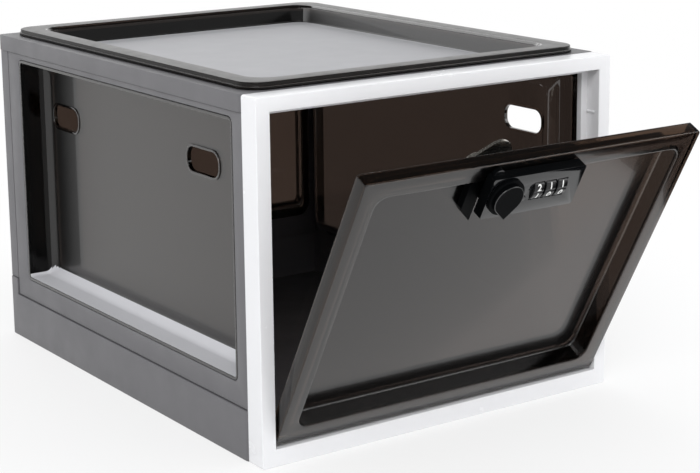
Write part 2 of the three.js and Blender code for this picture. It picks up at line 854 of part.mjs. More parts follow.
// The door swings about the pins, and carries the lock
const swing = new THREE.Group();
swing.rotation.x = THREE.MathUtils.degToRad(doorAjar);
const door = new THREE.Group();
door.rotation.x = Math.PI / 2;
door.position.set(-doorWidth / 2, -hingeInset, -hingeInset);
swing.add(door);
hinge.add(swing);

door.add(piece('door_panel', doorPanel(), smokedPanel));
door.add(piece('lock_body', lockBody(), blackLock));
door.add(piece('lock_cover', lockCover(), blackLock));
door.add(piece('finger_pull', fingerPull(), blackLock));
lockScrews.forEach(([x, y], i) => {
  door.add(piece(`lock_screw_${i + 1}`, screw(x, y, screwBite), steel));
});
door.add(piece('pull_screw', screw(...pullScrewPlace, pullScrewBite), steel));
const axle = crossRod(dialY, dialAxis, axleRadius, axleLeft + seatGap, lockRight);
door.add(piece('dial_axle', axle, steel));
door.add(piece('detent_spring', detentSpring(), steel));

dialPlaces().forEach((x, i) => {
  const wheel = piece(`dial_${i + 1}`, dial(), blackLock);
  wheel.position.set(x, dialY, dialAxis);
  wheel.rotation.y = Math.PI / 2;
  door.add(wheel);
});

const button = piece('reset_button', resetButton(), whiteShell);
button.position.set(buttonX, buttonY, 0);
door.add(button);

// Everything that turns with the knob
const turning = new THREE.Group();
turning.position.set(knobX, knobY, 0);
const turnKnob = piece('turn_knob', knob(), blackLock);
turnKnob.rotation.z = THREE.MathUtils.degToRad(knobTurn);
turning.add(turnKnob);
turning.add(piece('spindle', spindle(), steel));
const cam = piece('latch_cam', latchCam(), steel);
cam.rotation.z = THREE.MathUtils.degToRad(camRest);
turning.add(cam);
turning.add(piece('cam_nut', camNut(), steel));
door.add(turning);

export default lockBox;
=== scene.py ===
import math

import bmesh
import bpy
import numpy as np
from mathutils import Matrix, Vector
from mathutils.geometry import tessellate_polygon


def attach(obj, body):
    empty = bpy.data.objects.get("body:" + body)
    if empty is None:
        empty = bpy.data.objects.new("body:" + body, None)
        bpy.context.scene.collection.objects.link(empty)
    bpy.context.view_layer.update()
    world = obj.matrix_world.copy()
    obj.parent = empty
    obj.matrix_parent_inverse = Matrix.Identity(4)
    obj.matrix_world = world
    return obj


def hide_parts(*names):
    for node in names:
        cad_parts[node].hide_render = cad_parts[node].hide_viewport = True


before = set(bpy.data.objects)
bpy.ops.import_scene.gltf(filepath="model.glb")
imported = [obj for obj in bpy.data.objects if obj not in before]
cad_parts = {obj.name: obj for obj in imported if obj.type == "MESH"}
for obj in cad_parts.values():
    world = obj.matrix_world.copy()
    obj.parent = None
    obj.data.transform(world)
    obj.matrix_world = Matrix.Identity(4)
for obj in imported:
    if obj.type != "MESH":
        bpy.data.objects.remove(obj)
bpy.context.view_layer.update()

# Base tray. The real one is a single moulding of grey ABS: a floor, low walls and a higher wall at the
# back. Its outside was spark-eroded in the mould, which leaves a fine satin grain on it.
mm = 0.001


def linear(shade):
    """Linear colour of an sRGB hex value: c / 12.92 below 0.04045, else ((c + 0.055) / 1.055) ^ 2.4."""
    parts = np.array([shade >> 16 & 255, shade >> 8 & 255, shade & 255]) / 255
    light = np.where(parts < 0.04045, parts / 12.92, ((parts + 0.055) / 1.055) ** 2.4)
    return (*light.tolist(), 1.0)


def add_node(tree, kind, settings=None, links=None):
    """Adds one shader node. Settings are its own properties or its sockets' values, and links name the
    output that feeds each socket."""
    node = tree.nodes.new(kind)
    for key, value in (settings or {}).items():
        if isinstance(key, str) and hasattr(node, key):
            setattr(node, key, value)
        else:
            node.inputs[key].default_value = value
    for key, source in (links or {}).items():
        tree.links.new(source, node.inputs[key])
    return node


def start_finish(name):
    """An empty material, its node tree, and the object's own coordinates in metres."""
    material = bpy.data.materials.new(name)
    material.use_nodes = True
    tree = material.node_tree
    tree.nodes.clear()
    place = add_node(tree, "ShaderNodeTexCoord").outputs["Object"]
    return material, tree, place


def noise_scale(size):
    """Scale of a noise whose marks are the size in mm across, on coordinates in metres: 1000 / size."""
    return 1000 / size


def moulded_plastic(name, pale, deep, gloss, grain, relief, index=1.54, strength=0.5):
    """Opaque moulded plastic. The colour drifts between two shades as the melt flowed, the roughness lies
    between two gloss values in patches where it was handled, and a grain stands in relief. The sizes of
    the three are in mm."""
    melt_flow, handled_patch = 60, 18
    material, tree, place = start_finish(name)
    flow = add_node(tree, "ShaderNodeTexNoise", {"Scale": noise_scale(melt_flow), "Detail": 3.0},
                    {"Vector": place})
    shade = add_node(tree, "ShaderNodeMix", {"data_type": "RGBA", 6: linear(deep), 7: linear(pale)},
                     {0: flow.outputs["Fac"]})
    speck = add_node(tree, "ShaderNodeTexNoise", {"Scale": noise_scale(grain), "Detail": 2.0},
                     {"Vector": place})
    wear = add_node(tree, "ShaderNodeTexNoise", {"Scale": noise_scale(handled_patch), "Detail": 5.0},
                    {"Vector": place})
    rough = add_node(tree, "ShaderNodeMapRange", {"From Min": 0.3, "From Max": 0.7, "To Min": gloss[0],
                                                  "To Max": gloss[1]}, {"Value": wear.outputs["Fac"]})
    bump = add_node(tree, "ShaderNodeBump", {"Strength": strength, "Distance": relief * mm},
                    {"Height": speck.outputs["Fac"]})
    plastic = add_node(tree, "ShaderNodeBsdfPrincipled", {"IOR": index},
                       {"Base Color": shade.outputs[2], "Roughness": rough.outputs[0],
                        "Normal": bump.outputs["Normal"]})
    add_node(tree, "ShaderNodeOutputMaterial", None, {"Surface": plastic.outputs[0]})
    return material


def dress_node(name, material, edge):
    """Finishes a CAD node: its loose triangles are merged at their corners, neighbours within half a
    degree are joined into one face, and each edge that turns by more than 30 degrees gets a round of the
    edge's size in mm."""
    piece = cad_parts[name]
    piece.data.shade_smooth()
    merge = piece.modifiers.new("merged corners", "WELD")
    merge.merge_threshold = 0.002 * mm
    join = piece.modifiers.new("joined flat faces", "DECIMATE")
    join.decimate_type = "DISSOLVE"
    join.angle_limit = math.radians(0.5)
    soft = piece.modifiers.new("soft edges", "BEVEL")
    soft.width = edge * mm
    soft.segments = 3
    soft.limit_method = "ANGLE"
    soft.angle_limit = math.radians(30)
    soft.harden_normals = True
    piece.data.materials.clear()
    piece.data.materials.append(material)
    return piece


# Satin grey ABS: the eye sees an even mid grey with a soft sheen and no sharp reflection. The real grain
# is about 0.1 mm, too fine to show here, so it is drawn at 0.7 mm.
grey_abs = moulded_plastic("satin grey moulded ABS", 0x6a696c, 0x626164, (0.40, 0.52), 0.7, 0.03)
dress_node("base_tray", grey_abs, 0.7)

# Anti-slip pads: four discs of soft black thermoplastic rubber, pressed into pockets under the tray.
# The eye sees a dead black without highlights. The blast grain of the mould is drawn at 0.8 mm.
pad_rubber = moulded_plastic("matte black thermoplastic rubber", 0x242426, 0x1b1b1d, (0.75, 0.9), 0.8, 0.08,
                             1.5, 0.8)
for number in range(1, 5):
    dress_node(f"foot_pad_{number}", pad_rubber, 0.3)

# Side frames: a grey ABS rail round each side window, standing in the tray's rim and held by its tongues
# under the top frame.
for label in ("left", "right"):
    dress_node(f"side_frame_{label}", grey_abs, 0.5)

# Side panels: a dish of smoked polycarbonate behind each frame, 20 mm deep with a bevelled floor, a
# flange that the frame clamps, and two finger slots with a raised bead. Injection-moulded and polished.


def corner_path(rows, steps=8):
    """Rings for rows of x0, x1, y0, y1, corner radius and height: each is a rectangle whose corners are
    quarter circles, centre + radius (cos a, sin a), one after another round the rectangle."""
    x0, x1, y0, y1, radius, height = np.asarray(rows, float).T[:, :, None]
    corner = np.repeat(np.arange(4), steps + 1)
    angle = np.tile(np.linspace(0, math.pi / 2, steps + 1), 4) + (corner - 1) * math.pi / 2
    x = np.where(corner < 2, x1 - radius, x0 + radius) + radius * np.cos(angle)
    y = np.where((corner == 1) | (corner == 2), y1 - radius, y0 + radius) + radius * np.sin(angle)
    return np.stack([x, y, np.broadcast_to(height, x.shape)], axis=-1)


def rim(box, inset, radius, height):
    """Row for corner_path: the box x0, x1, y0, y1 drawn in by the inset on all sides. No corner is
    sharper than the cutter that made the mould."""
    x0, x1, y0, y1 = box
    cutter = 0.3
    return [x0 + inset, x1 - inset, y0 + inset, y1 - inset, max(radius, cutter), height]


def softened(rows, reach, steps=4, closed=False):
    """A profile with its corners rounded: row b between a and c becomes the curve
    (1-t)^2 p + 2t(1-t) b + t^2 q, where p and q lie on the lines to a and c, the reach away from b and
    less than half way. The first and last rows of an open profile stay as they are."""
    rows = np.asarray(rows, float)
    reach = np.broadcast_to(np.asarray(reach, float), len(rows))
    t = np.linspace(0, 1, steps + 1)[None, :, None]
    furthest, least_span = 0.45, 1e-9
    ends = []
    for other in (np.roll(rows, 1, 0), np.roll(rows, -1, 0)):
        span = np.maximum(np.abs(other - rows).max(axis=1), least_span)
        share = np.minimum(reach / span, furthest)
        ends.append((rows + (other - rows) * share[:, None])[:, None])
    curve = (1 - t) ** 2 * ends[0] + 2 * t * (1 - t) * rows[:, None] + t ** 2 * ends[1]
    if closed:
        return curve.reshape(-1, rows.shape[1])
    return np.concatenate([rows[:1], curve[1:-1].reshape(-1, rows.shape[1]), rows[-1:]])


def skin(rings, closed=False):
    """Quads between rings of equal count: ring i, point j joins ring i+1, point j+1."""
    rows, count = rings.shape[:2]
    i = np.arange(rows if closed else rows - 1)[:, None]
    j = np.arange(count)[None, :]
    a, b = i * count + j, i * count + (j + 1) % count
    below = (i + 1) % rows * count
    faces = np.stack([a, b, below + (j + 1) % count, below + j], axis=-1).reshape(-1, 4)
    return rings.reshape(-1, 3), faces


def bands(rings):
    """For each quad of an open skin, the number of the band between two rings that it lies in."""
    rows, count = rings.shape[:2]
    return np.repeat(np.arange(rows - 1), count)


def flat(outline, holes=()):
    """The flat face inside an outline, left open at its holes."""
    loops = [outline, *holes]
    faces = tessellate_polygon([[Vector(point) for point in loop] for loop in loops])
    return np.concatenate(loops), np.array(faces)


# Faces that meet at more than this angle keep a crease in their shading
crease = math.radians(32)


def make_piece(name, shells, place, materials):
    """One mesh from surfaces, each given as points in mm, faces and the number of its material. Corners
    that coincide are merged and the closed shell's faces are turned outwards."""
    body = bmesh.new()
    for points, faces, *finish in shells:
        part = bpy.data.meshes.new(name)
        part.from_pydata((place(points) * mm).tolist(), [], faces.tolist())
        number = np.broadcast_to(np.array(finish[0] if finish else 0, np.int32), len(faces))
        part.polygons.foreach_set("material_index", np.ascontiguousarray(number))
        body.from_mesh(part)
        bpy.data.meshes.remove(part)
    bmesh.ops.remove_doubles(body, verts=body.verts, dist=0.004 * mm)
    bmesh.ops.recalc_face_normals(body, faces=body.faces)
    mesh = bpy.data.meshes.new(name)
    body.to_mesh(mesh)
    body.free()
    mesh.shade_smooth()
    mesh.set_sharp_from_angle(angle=crease)
    piece = bpy.data.objects.new(name, mesh)
    bpy.context.scene.collection.objects.link(piece)
    for material in materials:
        mesh.materials.append(material)
    return piece


def dimmed(shade, share):
    """Linear colour of an sRGB hex value, of which only a share of the light is left."""
    return tuple(value * share for value in linear(shade)[:3]) + (1.0,)


def smoked_polycarbonate(name, tint, gloss, coat, index=1.585, coat_index=1.5, coat_gloss=0.04):
    """Clear plastic dyed brown-black. The tint is what one sheet lets through, and it deepens in clouds of
    the dye. The roughness lies between two values where hands have rubbed it, and a faint ripple of the
    mould bends what it mirrors. A worn skin is a coat that blurs its reflections over a body that hardly
    mirrors. The sizes of the marks are in mm."""
    dye_cloud, deepest_dye, rubbed_patch, mould_ripple, ripple_depth = 90, 0.85, 9, 14, 0.02
    material, tree, place = start_finish(name)
    dye = add_node(tree, "ShaderNodeTexNoise", {"Scale": noise_scale(dye_cloud), "Detail": 2.0},
                   {"Vector": place})
    shade = add_node(tree, "ShaderNodeMix",
                     {"data_type": "RGBA", 6: dimmed(tint, deepest_dye), 7: linear(tint)},
                     {0: dye.outputs["Fac"]})
    rubbed = add_node(tree, "ShaderNodeTexNoise",
                      {"Scale": noise_scale(rubbed_patch), "Detail": 6.0, "Roughness": 0.65},
                      {"Vector": place})
    rough = add_node(tree, "ShaderNodeMapRange", {"From Min": 0.45, "From Max": 0.75, "To Min": gloss[0],
                                                  "To Max": gloss[1]}, {"Value": rubbed.outputs["Fac"]})
    ripple = add_node(tree, "ShaderNodeTexNoise", {"Scale": noise_scale(mould_ripple), "Detail": 1.0},
                      {"Vector": place})
    bump = add_node(tree, "ShaderNodeBump", {"Strength": 0.25, "Distance": ripple_depth * mm},
                    {"Height": ripple.outputs["Fac"]})
    sheet = add_node(tree, "ShaderNodeBsdfPrincipled",
                     {"IOR": index, "Transmission Weight": 1.0, "Coat Weight": coat, "Coat IOR": coat_index,
                      "Coat Roughness": coat_gloss},
                     {"Base Color": shade.outputs[2], "Roughness": rough.outputs[0],
                      "Normal": bump.outputs["Normal"]})
    add_node(tree, "ShaderNodeOutputMaterial", None, {"Surface": sheet.outputs[0]})
    return material


# Smoked polycarbonate: the eye sees a dark brown see-through sheet under a grey veil of reflection.
smoked_panel = smoked_polycarbonate("smoked polycarbonate panel", 0x3a2f29, (0.02, 0.06), 0.45)
# Painted light: the recess foot is a pale, dull opaque grey that stands in for the light it catches from
# above.
pale_ledge_painted_light = moulded_plastic("pale polycarbonate ledge with painted light", 0xdcdce0, 0xd2d2d6, (0.45, 0.6), 1.0, 0.03)
# The same sheet where the dish's floor is satin: the veil over it is even, with no sharp image in it.
satin_panel = smoked_polycarbonate("satin smoked polycarbonate panel", 0x28221f, (0.02, 0.06), 1.0, 1.2,
                                   1.57, 0.42)
# Painted shade: a darker, duller copy of the sheet on the recess walls makes them look nearly black.
shaded_wall_copy = smoked_polycarbonate("smoked polycarbonate wall with painted shade", 0x1e1917, (0.1, 0.18), 0.0, 1.28)
panel_finishes = [smoked_panel, pale_ledge_painted_light, satin_panel, shaded_wall_copy]
clear, painted_pale, satin, painted_shade = range(4)
thickness = 2.2


def dish_rows(window, recess):
    """Rows from the middle of the dish's floor, over its bevel, wall, lip and flange, to the back of the
    floor. Heights go outwards from the face of the frame, and insets inwards from its window."""
    floor, behind, bevel = -recess, -recess - thickness, 5
    lip, flange, flange_back = -1.1, -5.3, -7.5
    inner_wall, outer_wall, flange_edge = (2.1, 1.9), (0.3, 3.7), (-6, 10)
    rows = [rim(window, 10, 3.1, floor), rim(window, 7.1, 6, floor),
            rim(window, *inner_wall, floor + bevel), rim(window, *inner_wall, lip),
            rim(window, *outer_wall, lip), rim(window, *outer_wall, flange),
            rim(window, *flange_edge, flange), rim(window, *flange_edge, flange_back),
            rim(window, *outer_wall, flange_back), rim(window, *outer_wall, behind + bevel),
            rim(window, 5.3, 7.8, behind), rim(window, 8, 5, behind)]
    return softened(rows, [0, 1.6, 1.6, 0.4, 0.4, 0.2, 0.3, 0.3, 0.2, 1.6, 1.6, 0])


def slot_row(x, y, grow, height):
    """Row for corner_path round a finger slot about its middle, grown on all sides."""
    half_long, half_high, corner = 17.5, 7.25, 6.2
    box = [x - half_long - grow, x + half_long + grow, y - half_high - grow, y + half_high + grow]
    return rim(box, 0, corner + grow, height)


half_width = 125
recess, bead_width, bead_height, back_round = 20, 1.6, 0.7, 0.5
# The middles of the slots from the window's two ends
near_slot, far_slot = 28.4, 63.7
foot_top, lip_face, floor_face = 50.2, -1.6, -19.9
# The bands of the profile up to the end of the floor's bevel, of the wall and of the lip's inner round
bevel_end, wall_end, lip_end = 6, 11, 14
for side, label, drop in ((-1, "left", 37.3), (1, "right", 30.8)):
    window = [-133, 134, 43, 191.3] if side < 0 else [-134, 133, 43, 191.3]
    dish = corner_path(dish_rows(window, recess))
    points, faces = skin(dish)
    up, out = points[faces].mean(axis=1)[:, 1:].T
    band = bands(dish)
    # The foot is what slopes up to the floor and out to the lip along the window's lower edge
    foot = (up < foot_top) & (out < lip_face) & (out > floor_face) & (band < lip_end)
    # Painted light by band: the foot is painted pale, and the walls take the copy of the sheet with painted
    # shade.
    finish = np.select([foot, band < bevel_end, band < wall_end], [painted_pale, satin, painted_shade], clear)
    shells = [(points, faces, finish)]
    fronts, backs = [], []
    slot_up = window[3] - drop
    for x in (window[0] + near_slot, window[1] - far_slot):
        rows = [slot_row(x, slot_up, bead_width, -recess),
                slot_row(x, slot_up, bead_width, bead_height - recess),
                slot_row(x, slot_up, 0, bead_height - recess),
                slot_row(x, slot_up, 0, -recess - thickness),
                slot_row(x, slot_up, back_round, -recess - thickness)]
        bead = corner_path(softened(rows, [0, 0.35, 0.5, 0.4, 0]))
        shells.append(skin(bead))
        fronts.append(bead[0])
        backs.append(bead[-1])
    shells += [(*flat(dish[0], fronts), satin), flat(dish[-1], backs)]

    def on_side(points, side=side):
        """Wall coordinates, along, up and outwards, turned onto this side of the box."""
        return np.stack([side * (half_width + points[:, 2]), side * points[:, 0], points[:, 1]], axis=-1)

    panel = make_piece(f"smoked_panel_{label}", shells, on_side, panel_finishes)
    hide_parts(f"side_panel_{label}")
    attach(panel, "box")

# Back frame: a grey ABS rail round the back window, with returns that close the rear corners. The back
# panel behind it is a shallower dish of the same smoked sheet, without slots.
dress_node("back_frame", grey_abs, 0.5)
half_depth = 160
window, back_recess = [-109, 109, 56, 182], 12
dish = corner_path(dish_rows(window, back_recess))


def on_back(points):
    """Wall coordinates turned onto the back of the box."""
    return np.stack([-points[:, 0], half_depth + points[:, 2], points[:, 1]], axis=-1)


panel = make_piece("smoked_panel_back", [skin(dish), flat(dish[0]), flat(dish[-1])], on_back,
                   [smoked_panel])
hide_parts("back_panel")
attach(panel, "box")

# Top frame: one grey ABS moulding, a plate with a wide opening for the lid and a skirt that laps over the
# tongues of the walls and holds them together.
dress_node("top_frame", grey_abs, 0.6)

# Lid: a shallow tray moulded in smoked polycarbonate that lies on the top frame, its rim in two steps.
# Painted light: a pale floor, shaded walls and step, a sheen on the right wall. Rim flats are spark-eroded.

# Polished smoked polycarbonate: the chamfer inside the rim is dark brown with a bright line along it.
smoked_lid = smoked_polycarbonate("smoked polycarbonate lid", 0x30241e, (0.02, 0.06), 0.6)
# The spark-eroded flats look a dull dark brown that mirrors nothing sharply.
dull_rim = smoked_polycarbonate("dull smoked polycarbonate rim", 0x30241e, (0.28, 0.36), 0.0, 1.6)
# The wall on the right faces the light, and a far shinier copy of the sheet paints a dark grey sheen on it.
sheen_painted_lid_wall = smoked_polycarbonate("smoked polycarbonate lid wall with painted sheen", 0x30241e, (0.02, 0.06), 1.0, 1.25,
                                 2.3, 0.45)
# Painted reflection: the floor is an opaque, even pale grey that mirrors nothing.
pale_lid_floor_painted_reflection = moulded_plastic("pale polycarbonate lid floor with painted reflection", 0xafafb2, 0xaaaaad, (0.5, 0.6), 0.8, 0.01)
lid_finishes = [smoked_lid, dull_rim, sheen_painted_lid_wall, shaded_wall_copy, pale_lid_floor_painted_reflection]
clear, dull, satin, painted_shade, painted_pale = range(5)
lid_box = [-117.5, 117.5, -142.2, 154]
tray_floor, rim_top, step_top, seat, underside = 196.8, 209.3, 207.2, 205.3, 194.6
rows = [rim(lid_box, 22, 5, tray_floor), rim(lid_box, 16, 11, tray_floor), rim(lid_box, 15, 12, rim_top - 2),
        rim(lid_box, 13, 14, rim_top), rim(lid_box, 0.8, 13.2, rim_top), rim(lid_box, 0.8, 13.2, step_top),
        rim(lid_box, 0, 14, step_top), rim(lid_box, 0, 14, seat), rim(lid_box, 12.8, 14.2, seat),
        rim(lid_box, 13.8, 13.2, underside), rim(lid_box, 20, 7, underside)]
lid = corner_path(softened(rows, [0, 1.5, 0.5, 0.6, 0.6, 0.15, 0.5, 0.3, 0.5, 1.2, 0]), 12)
points, faces = skin(lid)
# The bands of the profile up to the end of the floor, the wall, the chamfer, the rim's flat, the face of
# the step and the step's flat
floor_end, wall_end, chamfer_end, rim_end, face_end, step_end = 3, 9, 14, 18, 24, 30
band = bands(lid)
right_of = 99.5
lit_right_wall = (band < wall_end) & (points[faces].mean(axis=1)[:, 0] > right_of)
# Painted light by band: a pale floor, shaded walls and step face, and the painted sheen on the lit right
# wall.
finish = np.select([band < floor_end, lit_right_wall, band < wall_end, band < chamfer_end, band < rim_end,
                    band < face_end, band < step_end],
                   [painted_pale, satin, painted_shade, clear, dull, painted_shade, dull], painted_shade)
shells = [(points, faces, finish), (*flat(lid[0]), painted_pale), flat(lid[-1])]


def upright(points):
    """Points that are already in the box's own coordinates."""
    return points


panel = make_piece("smoked_lid_tray", shells, upright, lid_finishes)
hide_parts("top_lid")
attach(panel, "box")

# Front frame: one white ABS moulding with a rebate and a stop lip for the door, tabs at its rear that
# reach into the box, and a small bumper on each side of the rebate that the shut door snaps past.

# Glossy white ABS: the eye sees a clean cold white with a soft gloss along its rounded edges.
white_abs = moulded_plastic("glossy white moulded ABS", 0xf1f1f3, 0xececee, (0.18, 0.28), 1.2, 0.01, 1.54,
                            0.3)


def on_front(points):
    """Wall coordinates, across, up and outwards, turned onto the front of the box."""
    return np.stack([points[:, 0], -half_depth - points[:, 2], points[:, 1]], axis=-1)


def soft_block(x0, x1, y0, y1, z0, z1, edge):
    """A closed block whose twelve edges are rounded by the edge's size."""
    box = [x0, x1, y0, y1]
    rows = [rim(box, 2 * edge, 0, z0), rim(box, 0, edge, z0), rim(box, 0, edge, z1),
            rim(box, 2 * edge, 0, z1)]
    block = corner_path(softened(rows, [0, edge, edge, 0], 3), 3)
    return [skin(block), flat(block[0]), flat(block[-1])]


outer = [-half_width, half_width, 0, 205]
opening, lip = [-116.2, 116.2, 10, 196.6], [-111.6, 111.6, 13.6, 193.6]
rebate, frame_back = -10.4, -14.5
rows = [rim(opening, 0, 0.5, 0), rim(outer, 0, 1.5, 0), rim(outer, 0, 1.5, frame_back),
        rim(lip, 0, 0.5, frame_back), rim(lip, 0, 0.5, rebate), rim(opening, 0, 0.5, rebate)]
ring = corner_path(softened(rows, [0.5, 0.7, 0.3, 0.5, 0.5, 0.3], 5, True))
shells = [skin(ring, True)]
tab_middle, half_tab, tab_end, tab_root = 90, 15, -24.5, -14
bumper_foot, bumper_head, bumper_back, bumper_front = 169.6, 171, -10.2, -3.4
for side in (-1, 1):
    # The bumper stands 0.6 mm proud of the rebate's side
    near, far = sorted((side * 115.6, side * 116.6))
    shells += soft_block(near, far, bumper_foot, bumper_head, bumper_back, bumper_front, 0.25)
    # One tab lies under the plate of the top frame, and one on the tray's front wall
    left, right = side * tab_middle - half_tab, side * tab_middle + half_tab
    for low, high in ((199.6, 202), (9.3, 11.7)):
        shells += soft_block(left, right, low, high, tab_end, tab_root, 0.4)
white_frame = make_piece("white_front_frame", shells, on_front, [white_abs])
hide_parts("front_frame")
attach(white_frame, "box")

# Hinge pins: two short pins of drawn steel, nickel plated, that stand in the frame's sides and reach into
# bores in the door's lower corners. The door swings on them.


def plated_steel(name, shade, gloss, grain):
    """Drawn or pressed steel under nickel. Fine lines of the grain's width in mm run along X, where the
    noise is stretched, and vary the roughness between two gloss values. The plating is duller between."""
    stretch, line_depth, dullest = 0.06, 0.01, 0.88
    material, tree, place = start_finish(name)
    along = add_node(tree, "ShaderNodeMapping", {"Scale": (stretch, 1.0, 1.0)}, {"Vector": place})
    lines = add_node(tree, "ShaderNodeTexNoise", {"Scale": noise_scale(grain), "Detail": 3.0},
                     {"Vector": along.outputs[0]})
    rough = add_node(tree, "ShaderNodeMapRange", {"From Min": 0.3, "From Max": 0.7, "To Min": gloss[0],
                                                  "To Max": gloss[1]}, {"Value": lines.outputs["Fac"]})
    tone = add_node(tree, "ShaderNodeMix",
                    {"data_type": "RGBA", 6: dimmed(shade, dullest), 7: linear(shade)},
                    {0: lines.outputs["Fac"]})
    bump = add_node(tree, "ShaderNodeBump", {"Strength": 0.4, "Distance": line_depth * mm},
                    {"Height": lines.outputs["Fac"]})
    metal = add_node(tree, "ShaderNodeBsdfPrincipled", {"Metallic": 1.0},
                     {"Base Color": tone.outputs[2], "Roughness": rough.outputs[0],
                      "Normal": bump.outputs["Normal"]})
    add_node(tree, "ShaderNodeOutputMaterial", None, {"Surface": metal.outputs[0]})
    return material


# Nickel-plated steel: a warm bright grey, mirrored softly along the lines of the drawing.
nickel_steel = plated_steel("nickel plated steel", 0xd8d4ca, (0.18, 0.34), 0.4)
for label in ("left", "right"):
    dress_node(f"hinge_pin_{label}", nickel_steel, 0.25)

# Door: one moulding of smoked polycarbonate, a dish 11 mm deep with a turned edge. It stands ajar on the
# pins in its lower corners, and the lock is screwed into the upper part of its recess.

# Polished smoked polycarbonate: the edge shows a warm brown that light passes through.
smoked_door = smoked_polycarbonate("smoked polycarbonate door", 0x4c3b2f, (0.02, 0.06), 0.0, 1.4)
# The dish's floor is satin: it carries an even grey veil, and the lock casts no sharp image in it.
satin_door = smoked_polycarbonate("satin smoked polycarbonate door", 0x423b38, (0.02, 0.06), 1.0, 1.2, 1.52,
                                  0.2)
# The flat round the dish is satin too, a little darker, with a clearer veil of reflection.
satin_rim = smoked_polycarbonate("satin smoked polycarbonate door rim", 0x3a302b, (0.02, 0.06), 1.0, 1.2,
                                 1.58, 0.2)
door_finishes = [smoked_door, satin_door, shaded_wall_copy, satin_rim]
clear, satin, painted_shade, satin_flat = range(4)
door_box, dish_box = [0, 230.4, 0, 182.4], [10.6, 219.8, 9.6, 171.8]
dish_floor, dish_back, face_back, edge_back = -11, -13.2, -2.4, -8.8
rows = [rim(dish_box, 2.7, 5.3, dish_floor), rim(dish_box, 1, 7, dish_floor), rim(dish_box, 0, 8, 0),
        rim(door_box, 0, 1.5, 0), rim(door_box, 0, 1.5, edge_back), rim(door_box, 2.4, 0.5, edge_back),
        rim(door_box, 2.4, 0.5, face_back), rim(dish_box, -2.2, 10.2, face_back),
        rim(dish_box, -1.2, 9.2, dish_back), rim(dish_box, 3, 5, dish_back)]
door = corner_path(softened(rows, [0, 1.5, 0.8, 0.7, 0.5, 0.5, 0.5, 0.6, 1.5, 0]), 10)
points, faces = skin(door)
# The bands of the profile up to the end of the floor, the wall and the flat
floor_end, wall_end, flat_end = 4, 8, 13
band = bands(door)
# Painted shade: the dish's walls take the darker copy of the sheet.
finish = np.select([band < floor_end, band < wall_end, band < flat_end], [satin, painted_shade, satin_flat], clear)
shells = [(points, faces, finish)]

# Holes through the dish's floor for the spindle, the two lock screws and the pull screw
knob_x, knob_y = 90, 165.5
turn = np.linspace(0, 2 * math.pi, 24, endpoint=False)
cuts = []
for x, y, radius in ((knob_x, knob_y, 3.2), (138.2, 160, 1.3), (100.5, 157.5, 1.3), (82, 153.8, 1.3)):
    cuts.append(np.stack([x + radius * np.cos(turn), y + radius * np.sin(turn)], axis=-1))
fronts, backs = [[np.column_stack([cut, np.full(len(cut), depth)]) for cut in cuts]
                 for depth in (dish_floor, dish_back)]
shells += [skin(np.stack(pair)) for pair in zip(fronts, backs)]
shells += [(*flat(door[0], fronts), satin), flat(door[-1], backs)]
# A block in each lower corner, sunk in the moulding's edge, takes the pin
block_width, block_foot, block_head, block_back, block_front = 11.6, 0.4, 12, -8.6, -2.2
for x in (0.4, 218.4):
    shells += soft_block(x, x + block_width, block_foot, block_head, block_back, block_front, 0.4)

ajar = math.radians(28.5)
half_door, pin_up, pin_out, pin_y, pin_z = 115.2, 3.5, -3.5, -156.5, 16.5


def on_door(points):
    """Door coordinates, across, up and outwards, with the door swung down by its angle a on the pins: u up
    and o out from the pins become -u sin a - o cos a in Y and u cos a - o sin a in Z."""
    up, out = points[:, 1] - pin_up, points[:, 2] - pin_out
    return np.stack([points[:, 0] - half_door, pin_y - up * math.sin(ajar) - out * math.cos(ajar),
                     pin_z + up * math.cos(ajar) - out * math.sin(ajar)], axis=-1)


def carve(piece, cutter):
    """Cuts one closed mesh out of another for good, and drops the cutter."""
    cut = piece.modifiers.new("cut", "BOOLEAN")
    cut.object = cutter
    cut.operation = "DIFFERENCE"
    cut.solver = "EXACT"
    graph = bpy.context.evaluated_depsgraph_get()
    piece.data = bpy.data.meshes.new_from_object(piece.evaluated_get(graph))
    piece.modifiers.clear()
    piece.data.set_sharp_from_angle(angle=crease)
    bpy.data.objects.remove(cutter)


panel = make_piece("smoked_door", shells, on_door, door_finishes)
# The room for the dials, from their axis up through the wall of the dish
dial_up, dial_out = 165.2, -0.6
bay_left, bay_right, bay_top, bay_back, bay_front = 107.95, 132.25, 174.8, -10.2, 1
bay = soft_block(bay_left, bay_right, dial_up, bay_top, bay_back, bay_front, 0.2)
room = make_piece("dial_room", bay, on_door, [])
carve(panel, room)
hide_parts("door_panel")
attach(panel, "door")

# Lock housing, rear cover and finger pull: black ABS mouldings clamped to the door by screws from behind.
# The face of the housing's plate and the rounds of its edges are polished. Its sides, the cover and the
# pull have a fine texture from the mould.

# Polished black ABS: a deep black whose flat faces carry the same veil as the door.
polished_black = moulded_plastic("polished black moulded ABS", 0x111214, 0x0c0d0f, (0.06, 0.14), 1.5, 0.006,
                                 1.65, 0.3)
# Textured black ABS: a dull black with only a faint sheen.
textured_black = moulded_plastic("textured black moulded ABS", 0x07080a, 0x040506, (0.4, 0.52), 0.6, 0.03,
                                 1.1, 0.4)
body = dress_node("lock_body", polished_black, 0.35)
body.data.materials.append(textured_black)
polished, textured = range(2)
facing, square_on = Vector((0, -math.cos(ajar), -math.sin(ajar))), 0.99
for side in body.data.polygons:
    side.material_index = polished if side.normal.dot(facing) > square_on else textured
body.modifiers["soft edges"].material = polished
dress_node("lock_cover", textured_black, 0.5)
dress_node("finger_pull", textured_black, 0.4)

